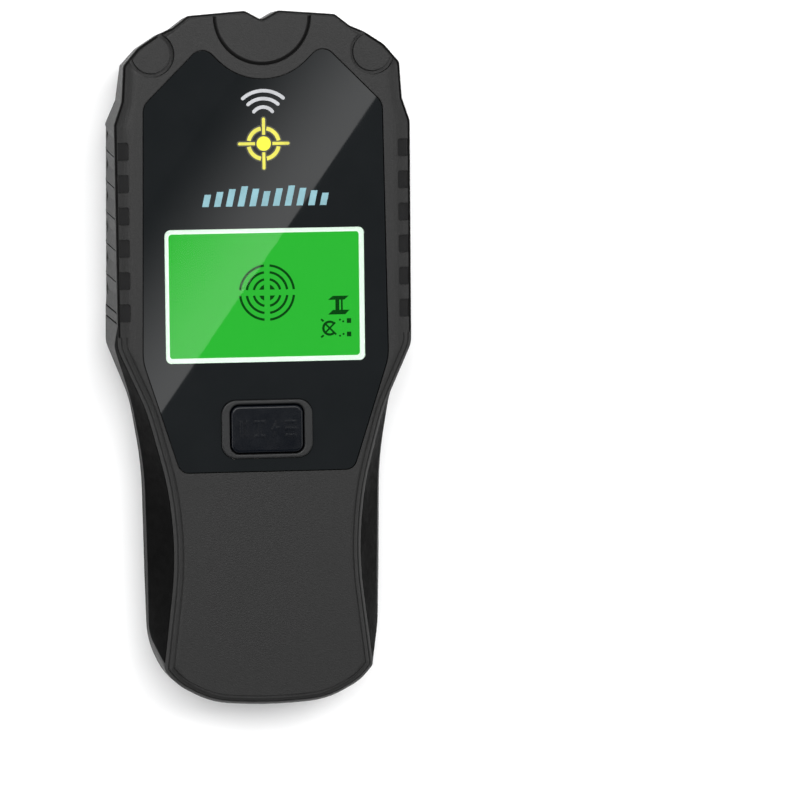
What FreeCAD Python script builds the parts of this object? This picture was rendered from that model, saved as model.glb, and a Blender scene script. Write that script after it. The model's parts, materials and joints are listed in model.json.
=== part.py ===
import FreeCAD, Part
import math
import os

# Handheld wall scanner (stud finder).
# Frame: millimetres, +Z out of the display face, +Y towards the notched sensing end, +X to the right
# of somebody reading the display. The origin is the middle of the flat rear face, which lies on Z = 0.

V = FreeCAD.Vector

# ---------------------------------------------------------------- driving dimensions

# heights and walls of the two shells
PARTING_Z = 15.5
SHOULDER_Z = 16.8
EDGE_Z = 25.8
FACE_Z = 27.5
REAR_ROUND = 3.2
REAR_TAPER = 1.5
REAR_TAPER_Z = 6.0
SEAM_CHAMFER = 0.3
SHOULDER_SHARE = 0.9
WALL = 2.0
FRONT_INSET = 2.8
FRONT_WALL = 2.5
REAR_INSET = 4.0
REAR_WALL = 2.2

# the face's crowned border, an arc from CROWN_START degrees at EDGE_Z to level at FACE_Z
CROWN_START = 55.0
CROWN_STEPS = 6

# right half of the outline where the sides meet the crowned face: x, y, corner radius
FACE_HALF = [
    (0.0, 77.3, 1.5),
    (3.8, 79.4, 1.8),
    (17.0, 78.4, 1.5),
    (20.5, 75.7, 1.5),
    (23.8, 74.3, 1.5),
    (28.4, 71.3, 5.0),
    (31.9, 67.2, 1.2),
    (32.4, 59.0, 2.0),
    (34.2, 53.7, 1.5),
    (34.0, 2.5, 6.0),
    (27.5, -12.0, 40.0),
    (22.7, -30.0, 70.0),
    (21.2, -46.0, 80.0),
    (24.3, -71.8, 2.0),
    (21.2, -75.4, 12.0),
    (13.6, -79.5, 20.0),
    (0.0, -80.6, 100.0),
]

# right half of the flat middle of the face, corner for corner the same
PLATEAU_HALF = [
    (0.0, 76.5, 1.5),
    (4.1, 78.6, 1.8),
    (16.6, 77.6, 1.5),
    (19.9, 74.9, 1.5),
    (22.6, 72.9, 1.5),
    (25.4, 68.9, 5.0),
    (28.4, 65.0, 1.2),
    (29.2, 58.0, 2.0),
    (30.0, 52.8, 1.5),
    (30.0, 1.0, 6.0),
    (24.9, -12.0, 40.0),
    (20.3, -30.0, 70.0),
    (18.4, -46.0, 80.0),
    (21.4, -71.0, 2.0),
    (18.9, -74.6, 12.0),
    (12.8, -78.0, 16.0),
    (0.0, -79.1, 100.0),
]

# right half of the outline at the parting line, corner for corner the same
PARTING_HALF = [
    (0.0, 76.7, 1.5),
    (3.9, 78.9, 1.8),
    (16.8, 77.7, 1.5),
    (20.2, 75.1, 1.5),
    (23.4, 73.7, 1.5),
    (28.1, 70.7, 5.0),
    (31.5, 67.0, 1.2),
    (32.6, 59.1, 2.0),
    (35.0, 53.8, 1.5),
    (35.6, 3.5, 5.0),
    (30.4, -9.5, 30.0),
    (27.8, -25.0, 80.0),
    (27.4, -50.0, 80.0),
    (27.0, -66.0, 20.0),
    (22.6, -75.0, 14.0),
    (14.0, -79.5, 22.0),
    (0.0, -80.6, 100.0),
]

# rubber side grips, as seen from the side: y, z, corner radius
GRIP_SIDE = [
    (13.0, FACE_Z + 2.0, 0.5),
    (0.0, EDGE_Z - 5.0, 6.0),
    (-9.0, SHOULDER_Z, 10.0),
    (-64.5, SHOULDER_Z, 5.0),
    (-72.7, FACE_Z + 2.0, 0.5),
]

# lines engraved in the front shell
DISC_Y = 78.2
DISC_R = 10.9
CORNER_DISC = (25.5, 69.7)
CORNER_DISC_R = 4.8
CORNER_DISC_Z = 26.5
CORNER_RING_Z = 25.7
RING_WIDTH = 0.85
RING_DEPTH = 0.9
POCKET_DEPTH = 0.5

# fine grooves along the face's edge, one round the head and two round the handle:
# inset, width, depth, lowest y, highest y
EDGE_GROOVES = [
    (0.15, 0.45, 0.6, 5.0, 90.0),
    (0.7, 0.3, 0.2, -90.0, 5.0),
    (1.8, 0.3, 0.2, -90.0, 5.0),
]

# zigzag ribs on the sides of the head, and pockets on the edge of the face
RIB_COUNT = 6
RIB_PITCH = 7.14
RIB_TOP_Y = 48.1
RIB_START_Y = 53.3
RIB_VALLEY = 3.4
RIB_DEPTH = 0.65
RIB_SLOPE = 0.16
RIB_LINE = 0.4
RIB_LAST_Y = 10.0
RIB_TOP_Z = EDGE_Z - 0.5
RIB_REAR_Z = 5.0
POCKET_PITCH = 7.38
POCKET_TOP_Y = 47.6
POCKET_X = 31.1
POCKET_W = 2.6
POCKET_H = 4.1

# glossy lens over the display and the button
LENS_HALF = [
    (0.0, 57.74, 14.4),
    (13.9, 71.6, 3.0),
    (27.5, 58.0, 3.5),
    (28.3, -0.5, 12.0),
    (20.0, -26.2, 2.6),
]
LENS_TOP_Z = 27.4
LENS_T = 1.25
TAPE_T = 0.2
TAPE_W = 2.6
LENS_GAP = 0.22
RECESS_Z = LENS_TOP_Z - LENS_T - TAPE_T

# display stack, all centred on the window
WINDOW_C = (0.0, 14.2)
WINDOW = (46.2, 30.7)
WINDOW_R = 1.4
ACTIVE = (44.2, 28.6)
ACTIVE_R = 0.8
BEZEL = (49.4, 33.4)
CELL = (49.4, 35.4)
CELL_T = 2.0
BACKLIGHT = (47.0, 31.0)
BACKLIGHT_T = 2.3
ZEBRA = (46.0, 1.2)
ZEBRA_Y = 16.7

# mode button
BUTTON_C = (0.0, -16.5)
RING_OUT = (21.1, 13.5)
RING_OUT_R = 3.4
CAP = (16.7, 10.9)
CAP_R = 1.9
CAP_GAP = 0.25
CAP_TOP_Z = 28.0
CAP_EDGE = 0.6
RING_TOP_Z = 27.9
FLANGE = (19.4, 13.6)
FLANGE_T = 1.0
BUTTON_TRAVEL = 0.6
SWITCH = 6.0
SWITCH_H = 3.5
PLUNGER_R = 1.7
PLUNGER_BOTTOM_Z = 21.0

# raised symbols on the button: a stud, a beam, a live wire and stacked layers
SYMBOL_T = 0.2
SYMBOL_H = 3.8
SYMBOL_W = 2.5
SYMBOL_LINE = 0.6
SYMBOL_PITCH = 3.6

# circuit boards
BOARD_T = 1.6
MAIN_BOARD_Z = 17.1
MAIN_TOP_Z = MAIN_BOARD_Z + BOARD_T
MAIN_HALF = [
    (21.4, 60.0, 2.0),
    (21.4, 46.0, 1.0),
    (28.6, 44.0, 1.5),
    (28.0, 3.0, 3.0),
    (14.8, -15.5, 3.0),
    (14.8, -23.6, 1.5),
]
SENSOR_BOARD_Z = 3.6
SENSOR_TOP_Z = SENSOR_BOARD_Z + BOARD_T
SENSOR_HALF = [
    (13.0, 71.0, 2.0),
    (22.2, 62.0, 2.0),
    (22.2, 8.0, 2.0),
]
PLATE_T = 0.3
PLATES = [(0.0, 61.0, 20.0, 12.0), (0.0, 40.0, 32.0, 22.0), (0.0, 18.0, 20.0, 12.0)]
COIL_C = (0.0, 47.0)
COIL_OUT_R = 16.0
COIL_IN_R = 11.5
COIL_T = 3.0
PIN_COUNT = 8
PIN_PITCH = 2.54
PIN_SIDE = 0.64
PIN_Y = 12.0
PIN_BOTTOM_Z = 3.0
PIN_TOP_Z = 20.0
HEADER_H = 2.5
CHIP = (-8.0, 36.0, 10.0, 1.6)
AMP_CHIPS = [(-14.0, 20.0), (4.0, 22.0)]
AMP_SIZE = (5.0, 4.0, 1.5)
CRYSTAL_C = (-19.0, 34.0)
REGULATOR_C = (10.0, -8.0)
CAPACITORS = [(18.0, 4.0, 3.2, 7.0), (10.0, 3.0, 2.6, 6.0)]
RESISTORS_Y = 28.0
RESISTOR_COUNT = 7
RESISTOR_PITCH = 3.4
RESISTOR = (2.0, 1.25, 0.55)
BUZZER_C = (14.0, 48.0)
BUZZER_R = 6.0
BUZZER_H = 6.5

# battery and its bay
BATTERY = (26.5, 46.5, 17.5)
BATTERY_BOTTOM_Y = -74.3
BATTERY_Z = 3.0
BATTERY_R = 2.0
STUD_X = 6.35
STUD_R = 3.6
STUD_H = 2.4
SNAP = (25.4, 12.0, 3.2)
BAY_X = 13.6
BAY_WALL = 1.4
BAY_TOP_Z = 13.0
BAY_TOP_Y = -25.6
LEAD_R = 0.7
LEAD_X = 4.0

# battery door, which slides out of the bottom end
DOOR_X = 17.0
DOOR_TOP_Y = -26.0
DOOR_GAP = 0.25
DOOR_Z = 0.15
DOOR_TOP_Z = 2.1
TONGUE = 1.2
TONGUE_Z = 1.2
SLOT_Z = 1.0
SLOT_TOP_Z = 2.4
SHELF_T = 1.2
RIDGE_COUNT = 5
RIDGE_PITCH = 2.2
RIDGE_Y = -68.0

# fasteners
CASE_SCREWS = [(26.6, 51.5), (-26.6, 51.5), (18.7, -19.6), (-18.7, -19.6)]
CASE_BOSS_R = 3.2
CASE_HEAD_R = 2.4
CASE_HEAD_H = 1.8
CASE_SEAT_Z = 3.4
CASE_SHANK_R = 1.1
CASE_SCREW_TOP_Z = 22.0
SMALL_SCREW_R = 0.9
SMALL_HEAD_R = 1.8
SMALL_HEAD_H = 1.3
MAIN_SCREWS = [(17.5, 56.0), (-17.5, 56.0), (14.2, -8.2), (-14.2, -8.2)]
MAIN_SCREW_TOP_Z = MAIN_TOP_Z + 4.0
SENSOR_SCREWS = [(9.0, 66.5), (-9.0, 66.5), (18.0, 12.0), (-18.0, 12.0)]
SMALL_BOSS_R = 2.3

FAR = 200.0


# ---------------------------------------------------------------- helpers

def whole(half):
    """Mirror a right half outline into a closed one; corners on the centre line are kept once."""
    left = [(-x, y, r) for x, y, r in reversed(half) if x > 0]
    return list(half) + left


def inset(corners, distance):
    """Move every side of a clockwise outline inwards by the distance, keeping its corners."""
    moved = []
    count = len(corners)
    for i in range(count):
        before, here, after = corners[i - 1], corners[i], corners[(i + 1) % count]
        d1 = V(here[0] - before[0], here[1] - before[1], 0).normalize()
        d2 = V(after[0] - here[0], after[1] - here[1], 0).normalize()
        n1 = V(d1.y, -d1.x, 0)
        n2 = V(d2.y, -d2.x, 0)
        middle = (n1 + n2).normalize()
        step = distance / middle.dot(n1)
        convex = d1.x * d2.y - d1.y * d2.x < 0
        radius = here[2] - distance if convex else here[2] + distance
        moved.append((here[0] + middle.x * step, here[1] + middle.y * step, max(radius, 0.3)))
    return moved


def between(first, second, share):
    """Outline part way between two outlines that have the same corners."""
    return [tuple(a + share * (b - a) for a, b in zip(p, q)) for p, q in zip(first, second)]


def rounded_wire(corners, z):
    """Closed wire of straight sides joined by tangent arcs."""
    count = len(corners)
    arcs = []
    for i in range(count):
        before, here, after = corners[i - 1], corners[i], corners[(i + 1) % count]
        point = V(here[0], here[1], z)
        back = (V(before[0], before[1], z) - point).normalize()
        ahead = (V(after[0], after[1], z) - point).normalize()
        half = math.acos(max(-1.0, min(1.0, back.dot(ahead)))) / 2
        reach = here[2] / math.tan(half)
        crown = here[2] / math.sin(half) - here[2]
        towards = (back + ahead).normalize()
        arcs.append((point + back * reach, point + towards * crown, point + ahead * reach))
    edges = []
    for i in range(count):
        edges.append(Part.Arc(*arcs[i]).toShape())
        edges.append(Part.LineSegment(arcs[i][2], arcs[(i + 1) % count][0]).toShape())
    return Part.Wire(edges)


def prism(corners, z0, z1):
    """Upright solid of a rounded outline."""
    return Part.Face(rounded_wire(corners, z0)).extrude(V(0, 0, z1 - z0))


def shifted(points, dx, dy):
    return [(x + dx, y + dy) for x, y in points]


def plate(points, z0, z1):
    """Upright solid of a sharp-cornered outline."""
    wire = Part.makePolygon([V(x, y, z0) for x, y in points + points[:1]])
    return Part.Face(wire).extrude(V(0, 0, z1 - z0))


def rectangle(centre, size, radius):
    """Clockwise corners of a rounded rectangle."""
    cx, cy = centre
    w, h = size[0] / 2, size[1] / 2
    return [(cx + w, cy + h, radius), (cx + w, cy - h, radius),
            (cx - w, cy - h, radius), (cx - w, cy + h, radius)]


def box(x0, x1, y0, y1, z0, z1):
    return Part.makeBox(x1 - x0, y1 - y0, z1 - z0, V(x0, y0, z0))


def rod(x, y, r, z0, z1):
    return Part.makeCylinder(r, z1 - z0, V(x, y, z0))


def tube(x, y, outer, inner, z0, z1):
    return rod(x, y, outer, z0, z1).cut(rod(x, y, inner, z0 - 1, z1 + 1))


def join(shapes):
    result = shapes[0]
    if len(shapes) > 1:
        result = result.fuse(shapes[1:])
    return result.removeSplitter()


def group(shapes):
    return Part.makeCompound(shapes)


def loft(levels):
    """Straight-sided solid through outlines of the same corners, given as (outline, z)."""
    return Part.makeLoft([rounded_wire(outline, z) for outline, z in levels], True, True)


FACE = whole(FACE_HALF)
PLATEAU = whole(PLATEAU_HALF)
PARTING = whole(PARTING_HALF)
SHOULDER = between(FACE, PARTING, SHOULDER_SHARE)
LENS = whole(LENS_HALF)


# ---------------------------------------------------------------- shells

def crown_levels():
    """Outlines and heights up the crowned border, from the sides to the flat middle of the face."""
    start = math.radians(CROWN_START)
    levels = []
    for step in range(CROWN_STEPS + 1):
        turn = start + (math.pi / 2 - start) * step / CROWN_STEPS
        share = 1 - math.cos(turn) / math.cos(start)
        rise = (math.sin(turn) - math.sin(start)) / (1 - math.sin(start))
        levels.append((between(FACE, PLATEAU, share), EDGE_Z + (FACE_Z - EDGE_Z) * rise))
    return levels


def front_form():
    """Outside of the front shell and its grips, solid."""
    seam_share = 1 - SEAM_CHAMFER / (EDGE_Z - PARTING_Z)
    levels = [(inset(PARTING, SEAM_CHAMFER), PARTING_Z),
              (between(FACE, PARTING, seam_share), PARTING_Z + SEAM_CHAMFER),
              (SHOULDER, SHOULDER_Z)]
    return loft(levels + crown_levels())


def rear_form():
    """Outside of the rear shell, solid, with a rounded edge to the flat rear face."""
    levels = [(inset(PARTING, SEAM_CHAMFER), PARTING_Z),
              (PARTING, PARTING_Z - SEAM_CHAMFER),
              (inset(PARTING, REAR_TAPER), REAR_TAPER_Z)]
    for degrees in (10, 30, 50, 70, 90):
        turn = math.radians(degrees)
        edge = REAR_TAPER + REAR_ROUND * (1 - math.cos(turn))
        levels.append((inset(PARTING, edge), REAR_ROUND * (1 - math.sin(turn))))
    return loft(levels)


def head_side(half, y):
    """Half-width of an outline's long straight side in the head."""
    (x0, y0), (x1, y1) = half[8][:2], half[9][:2]
    return x0 + (x1 - x0) * (y - y0) / (y1 - y0)


def rib_cutters(z0, z1, half0, half1, narrowing=0.0):
    """Zigzag and thin lines for the sides of the head, between two heights of the wall."""
    drop = -RIB_SLOPE * (z0 - PARTING_Z)
    crests = [RIB_START_Y] + [RIB_TOP_Y - i * RIB_PITCH for i in range(RIB_COUNT)]
    right = []

    def cut_along(corners):
        """Cutter from corners given as y and how far outside the wall."""
        middle = corners[0][0]
        out = head_side(half1, middle) - narrowing - head_side(half0, middle)
        lean = V(out, -RIB_SLOPE * (z1 - z0), z1 - z0)
        points = [V(head_side(half0, y) + outside, y + drop, z0) for y, outside in corners]
        right.append(Part.Face(Part.makePolygon(points + points[:1])).extrude(lean))

    for above, crest in zip(crests, crests[1:]):
        cut_along([(above, 0), (crest + RIB_VALLEY, -RIB_DEPTH), (crest, 0), (crest, 1), (above, 1)])
    for crest in crests[1:] + [RIB_LAST_Y]:
        low = crest - RIB_LINE
        cut_along([(low, -RIB_DEPTH), (crest, -RIB_DEPTH), (crest, 1), (low, 1)])
    return right + [solid.mirror(V(0, 0, 0), V(1, 0, 0)) for solid in right]


def middle_ring():
    """Circle round the notch, open where the outline cuts it, with a bevelled inner side."""
    bottom = EDGE_Z - 2
    outer = rod(0.0, DISC_Y, DISC_R + RING_WIDTH / 2, bottom, FACE_Z + 1)
    inner_r = DISC_R - RING_WIDTH / 2
    bevel = Part.makeCone(inner_r + FACE_Z - bottom, inner_r - 1, FACE_Z + 1 - bottom, V(0.0, DISC_Y, bottom))
    return outer.cut(bevel)


def corner_discs():
    """Flat seats in the two corners, each inside a deeper flat-bottomed ring."""
    cuts = []
    for side in (1, -1):
        x, y = side * CORNER_DISC[0], CORNER_DISC[1]
        outer_r = CORNER_DISC_R + RING_WIDTH / 2
        inner_r = CORNER_DISC_R - RING_WIDTH / 2
        seat = rod(x, y, inner_r + 0.1, CORNER_DISC_Z, FACE_Z + 1)
        cuts.append(tube(x, y, outer_r, inner_r, CORNER_RING_Z, FACE_Z + 1).fuse(seat))
    return cuts


def edge_grooves():
    """Fine grooves that follow the edge of the face, each with its depth."""
    grooves = []
    for start, width, depth, low_y, high_y in EDGE_GROOVES:
        outer = prism(inset(FACE, start), PARTING_Z, FACE_Z + 1)
        inner = prism(inset(FACE, start + width), PARTING_Z - 1, FACE_Z + 2)
        grooves.append((outer.cut(inner).common(box(-FAR, FAR, low_y, high_y, 0, FAR)), depth))
    return grooves


def edge_pockets():
    pockets = []
    for i in range(RIB_COUNT):
        y = POCKET_TOP_Y - i * POCKET_PITCH
        for side in (1, -1):
            centre = (side * (POCKET_X + POCKET_W / 2), y)
            pockets.append(prism(rectangle(centre, (POCKET_W, POCKET_H), 0.5), PARTING_Z, FACE_Z + 1))
    return pockets


def engravings(form):
    """Middle ring, pockets and grooves, each cut to one depth below the crowned face."""
    tools = [(middle_ring(), RING_DEPTH)] + [(pocket, POCKET_DEPTH) for pocket in edge_pockets()]
    return [tool.cut(form.translated(V(0, 0, -depth))) for tool, depth in tools + edge_grooves()]


def grip_space():
    """Everything outside the face's outline and above the grips' lower edge, along the handle."""
    band = prism(GRIP_SIDE, -FAR, FAR)
    band.rotate(V(0, 0, 0), V(1, 1, 1), 120)
    return band.cut(prism(FACE, 0, FAR))


def front_housing(form):
    shell = form.cut(prism(inset(FACE, FRONT_INSET), PARTING_Z - 1, FACE_Z - FRONT_WALL))
    cuts = [grip_space()] + corner_discs() + engravings(form)
    cuts += rib_cutters(PARTING_Z, RIB_TOP_Z, PARTING_HALF, FACE_HALF)
    cuts.append(prism(inset(LENS, -LENS_GAP), RECESS_Z, FACE_Z + 1))
    cuts.append(prism(rectangle(WINDOW_C, (BEZEL[0] + 0.4, BEZEL[1] + 0.4), 1.0), FACE_Z - 4, FACE_Z))
    opening = (CAP[0] + 2 * CAP_GAP, CAP[1] + 2 * CAP_GAP)
    cuts.append(prism(rectangle(BUTTON_C, opening, CAP_R), FACE_Z - 4, FACE_Z))
    shell = shell.cut(cuts)
    inner_top = FACE_Z - FRONT_WALL
    bosses = [rod(x, y, CASE_BOSS_R, PARTING_Z, inner_top + 0.2) for x, y in CASE_SCREWS]
    bosses += [rod(x, y, SMALL_BOSS_R, MAIN_TOP_Z, inner_top + 0.2) for x, y in MAIN_SCREWS]
    holes = [rod(x, y, CASE_SHANK_R, 0, CASE_SCREW_TOP_Z + 0.5) for x, y in CASE_SCREWS]
    holes += [rod(x, y, SMALL_SCREW_R, 0, MAIN_SCREW_TOP_Z + 0.5) for x, y in MAIN_SCREWS]
    return join([shell] + bosses).cut(holes)


def rear_housing():
    shell = rear_form()
    shell = shell.cut(prism(inset(PARTING, WALL + REAR_TAPER), REAR_TAPER_Z + 1, PARTING_Z + 1))
    shell = shell.cut(prism(inset(PARTING, REAR_INSET), REAR_WALL, REAR_TAPER_Z + 2))
    shell = shell.cut(rib_cutters(PARTING_Z + 0.1, RIB_REAR_Z, PARTING_HALF, PARTING_HALF, REAR_TAPER + 0.2))
    added = []
    rail = BAY_WALL + 0.2
    for side in (1, -1):
        slot_x = DOOR_X + TONGUE + DOOR_GAP
        low, high = sorted((side * BAY_X, side * (slot_x + rail)))
        added.append(box(low, high, BATTERY_BOTTOM_Y - 1, BAY_TOP_Y, SLOT_TOP_Z, SLOT_TOP_Z + SHELF_T))
        low, high = sorted((side * slot_x, side * (slot_x + rail)))
        added.append(box(low, high, BATTERY_BOTTOM_Y - 1, BAY_TOP_Y, REAR_WALL - 0.4, SLOT_TOP_Z + SHELF_T))
        low, high = sorted((side * BAY_X, side * (BAY_X + BAY_WALL)))
        added.append(box(low, high, BATTERY_BOTTOM_Y - 1, BAY_TOP_Y, SLOT_TOP_Z, BAY_TOP_Z))
    added += [rod(x, y, CASE_BOSS_R, REAR_WALL - 0.2, PARTING_Z) for x, y in CASE_SCREWS]
    added += [rod(x, y, SMALL_BOSS_R, REAR_WALL - 0.2, SENSOR_BOARD_Z) for x, y in SENSOR_SCREWS]
    inside = prism(inset(PARTING, WALL), 0, PARTING_Z)
    shell = join([shell] + [piece.common(inside) for piece in added])
    cuts = [box(-DOOR_X - DOOR_GAP, DOOR_X + DOOR_GAP, -FAR, DOOR_TOP_Y + DOOR_GAP, -1, SLOT_TOP_Z)]
    slot_x = DOOR_X + TONGUE + DOOR_GAP
    cuts.append(box(-slot_x, slot_x, -FAR, DOOR_TOP_Y + DOOR_GAP, SLOT_Z, SLOT_TOP_Z))
    for x, y in CASE_SCREWS:
        cuts.append(rod(x, y, CASE_HEAD_R + 0.2, -1, CASE_SEAT_Z))
        cuts.append(rod(x, y, CASE_SHANK_R + 0.2, -1, PARTING_Z + 1))
    cuts += [rod(x, y, SMALL_SCREW_R, SENSOR_BOARD_Z - 2.4, SENSOR_BOARD_Z + 1) for x, y in SENSOR_SCREWS]
    return shell.cut(cuts)


def side_grips(form):
    """Soft rubber wedges that fill the slopes beside the handle."""
    wedges = form.common(grip_space())
    right = wedges.common(box(0, FAR, -FAR, FAR, -FAR, FAR))
    left = wedges.common(box(-FAR, 0, -FAR, FAR, -FAR, FAR))
    return right, left


# ---------------------------------------------------------------- lens, display and button

def display_lens():
    plate = prism(LENS, LENS_TOP_Z - LENS_T, LENS_TOP_Z)
    hole = prism(rectangle(WINDOW_C, WINDOW, WINDOW_R), 0, FAR)
    button = prism(rectangle(BUTTON_C, (RING_OUT[0] + 0.2, RING_OUT[1] + 0.2), RING_OUT_R), 0, FAR)
    return plate.cut([hole, button])


def lens_tape():
    """Adhesive tape frame under the edge of the lens."""
    outer = prism(inset(LENS, 0.3), RECESS_Z, RECESS_Z + TAPE_T)
    return outer.cut([prism(inset(LENS, 0.3 + TAPE_W), 0, FAR),
                      prism(rectangle(WINDOW_C, (BEZEL[0] + 1, BEZEL[1] + 1), 1.5), 0, FAR)])


def display_window():
    return prism(rectangle(WINDOW_C, WINDOW, WINDOW_R), LENS_TOP_Z - LENS_T, LENS_TOP_Z)


def stack_heights():
    """Heights of the display's layers, from the front wall down."""
    cell_top = FACE_Z - FRONT_WALL - 0.05
    light_top = cell_top - CELL_T - 0.05
    return cell_top, light_top


def lcd_bezel():
    cell_top, _ = stack_heights()
    frame = prism(rectangle(WINDOW_C, BEZEL, 1.0), cell_top, LENS_TOP_Z - LENS_T - 0.05)
    return frame.cut(prism(rectangle(WINDOW_C, ACTIVE, ACTIVE_R), 0, FAR))


def lcd_cell():
    cell_top, _ = stack_heights()
    return prism(rectangle(WINDOW_C, CELL, 0.4), cell_top - CELL_T, cell_top)


def lcd_backlight():
    _, light_top = stack_heights()
    return prism(rectangle(WINDOW_C, BACKLIGHT, 0.5), light_top - BACKLIGHT_T, light_top)


def zebra_strips():
    """Rubber contact strips between the display glass and the board."""
    cell_top, _ = stack_heights()
    strips = []
    for side in (1, -1):
        centre = (WINDOW_C[0], WINDOW_C[1] + side * ZEBRA_Y)
        strips.append(prism(rectangle(centre, ZEBRA, 0.3), MAIN_TOP_Z, cell_top - CELL_T))
    return group(strips)


def button_surround():
    ring = prism(rectangle(BUTTON_C, RING_OUT, RING_OUT_R), RECESS_Z, RING_TOP_Z)
    opening = (CAP[0] + 2 * CAP_GAP, CAP[1] + 2 * CAP_GAP)
    ring = ring.cut(prism(rectangle(BUTTON_C, opening, CAP_R + CAP_GAP), 0, FAR))
    top = [edge for edge in ring.Edges if abs(edge.CenterOfMass.z - RING_TOP_Z) < 1e-4]
    return ring.makeFillet(0.35, top)


def symbols():
    """Outlines of the button's four raised symbols, round their own middles."""
    w, h, line = SYMBOL_W / 2, SYMBOL_H / 2, SYMBOL_LINE
    bar = [(-w, -line / 2), (w, -line / 2), (w, line / 2), (-w, line / 2)]
    post = [(-line / 2, -h), (line / 2, -h), (line / 2, h), (-line / 2, h)]
    bolt = [(0.3, h), (-0.9, -0.3), (-0.1, -0.3), (-0.4, -h), (0.9, 0.4), (0.1, 0.4)]
    edge = h - line / 2
    return [
        [shifted(post, -line, 0), shifted(post, line, 0)],
        [shifted(bar, 0, edge), post, shifted(bar, 0, -edge)],
        [bolt],
        [shifted(bar, 0, edge), bar, shifted(bar, 0, -edge)],
    ]


def mode_button():
    cap = prism(rectangle(BUTTON_C, CAP, CAP_R), FACE_Z - FRONT_WALL - FLANGE_T, CAP_TOP_Z)
    top = [edge for edge in cap.Edges if abs(edge.CenterOfMass.z - CAP_TOP_Z) < 1e-4]
    cap = cap.makeFillet(CAP_EDGE, top)
    flange_top = FACE_Z - FRONT_WALL - 0.05
    flange = prism(rectangle(BUTTON_C, FLANGE, CAP_R), flange_top - FLANGE_T, flange_top)
    raised = []
    for i, symbol in enumerate(symbols()):
        x = BUTTON_C[0] + (i - 1.5) * SYMBOL_PITCH
        for outline in symbol:
            raised.append(plate(shifted(outline, x, BUTTON_C[1]), CAP_TOP_Z - 0.1, CAP_TOP_Z + SYMBOL_T))
    return join([cap, flange] + raised)


def switch_plunger():
    flange_bottom = FACE_Z - FRONT_WALL - FLANGE_T - 0.05
    return rod(BUTTON_C[0], BUTTON_C[1], PLUNGER_R, PLUNGER_BOTTOM_Z, flange_bottom)


def mode_switch():
    side = SWITCH / 2
    x, y = BUTTON_C
    body = box(x - side, x + side, y - side, y + side, MAIN_TOP_Z, MAIN_TOP_Z + SWITCH_H)
    well = rod(x, y, PLUNGER_R + 0.3, PLUNGER_BOTTOM_Z - BUTTON_TRAVEL - 0.5, FAR)
    return body.cut(well)


# ---------------------------------------------------------------- boards and components

def pin_places():
    start = -PIN_PITCH * (PIN_COUNT - 1) / 2
    return [(start + i * PIN_PITCH, PIN_Y) for i in range(PIN_COUNT)]


def square_pin(x, y, side, z0, z1):
    return box(x - side / 2, x + side / 2, y - side / 2, y + side / 2, z0, z1)


def main_board():
    board = prism(whole(MAIN_HALF), MAIN_BOARD_Z, MAIN_TOP_Z)
    cuts = [rod(x, y, SMALL_SCREW_R + 0.1, 0, FAR) for x, y in MAIN_SCREWS]
    cuts += [square_pin(x, y, PIN_SIDE + 0.1, 0, FAR) for x, y in pin_places()]
    return board.cut(cuts)


def sensor_board():
    board = prism(whole(SENSOR_HALF), SENSOR_BOARD_Z, SENSOR_TOP_Z)
    cuts = [rod(x, y, SMALL_SCREW_R + 0.1, 0, FAR) for x, y in SENSOR_SCREWS]
    cuts += [square_pin(x, y, PIN_SIDE + 0.1, 0, FAR) for x, y in pin_places()]
    return board.cut(cuts)


def sensor_plates():
    """Copper plates that sense the wall through the rear shell."""
    pads = []
    for x, y, w, h in PLATES:
        pads.append(prism(rectangle((x, y), (w, h), 1.0), SENSOR_BOARD_Z - PLATE_T, SENSOR_BOARD_Z))
    holes = [rod(x, y, SMALL_BOSS_R + 0.3, 0, FAR) for x, y in SENSOR_SCREWS]
    holes.append(box(-11, 11, PIN_Y - 1, PIN_Y + 1, 0, FAR))
    return group([pad.cut(holes) for pad in pads])


def search_coil():
    ring = tube(COIL_C[0], COIL_C[1], COIL_OUT_R, COIL_IN_R, SENSOR_TOP_Z, SENSOR_TOP_Z + COIL_T)
    return ring.makeFillet(0.6, ring.Edges[:1])


def header_block():
    width = PIN_PITCH * PIN_COUNT
    block = box(-width / 2, width / 2, PIN_Y - 1.25, PIN_Y + 1.25, SENSOR_TOP_Z, SENSOR_TOP_Z + HEADER_H)
    return block.cut([square_pin(x, y, PIN_SIDE, 0, FAR) for x, y in pin_places()])


def header_pins():
    return group([square_pin(x, y, PIN_SIDE, PIN_BOTTOM_Z, PIN_TOP_Z) for x, y in pin_places()])


def chip(x, y, w, h, t, legs):
    """Flat chip under the main board, with a row of legs on two sides."""
    top = MAIN_BOARD_Z
    body = box(x - w / 2, x + w / 2, y - h / 2, y + h / 2, top - t, top - 0.1)
    pitch = w / legs
    feet = []
    for i in range(legs):
        leg_x = x - w / 2 + pitch * (i + 0.5)
        for side in (1, -1):
            low, high = sorted((y + side * (h / 2 - 0.3), y + side * (h / 2 + 1.0)))
            feet.append(box(leg_x - pitch / 4, leg_x + pitch / 4, low, high, top - 0.5, top))
    return join([body] + feet)


def amplifier_chips():
    w, h, t = AMP_SIZE
    return group([chip(x, y, w, h, t, 4) for x, y in AMP_CHIPS])


def crystal():
    x, y = CRYSTAL_C
    return prism(rectangle((x, y), (4.5, 11.0), 2.0), MAIN_BOARD_Z - 3.5, MAIN_BOARD_Z)


def voltage_regulator():
    x, y = REGULATOR_C
    body = rod(x, y, 2.4, MAIN_BOARD_Z - 5.0, MAIN_BOARD_Z - 1.5)
    body = body.cut(box(x - 5, x + 5, y + 1.6, y + 5, 0, FAR))
    legs = [square_pin(x + i * 1.27, y, 0.5, MAIN_BOARD_Z - 1.6, MAIN_BOARD_Z) for i in (-1, 0, 1)]
    return join([body] + legs)


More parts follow.
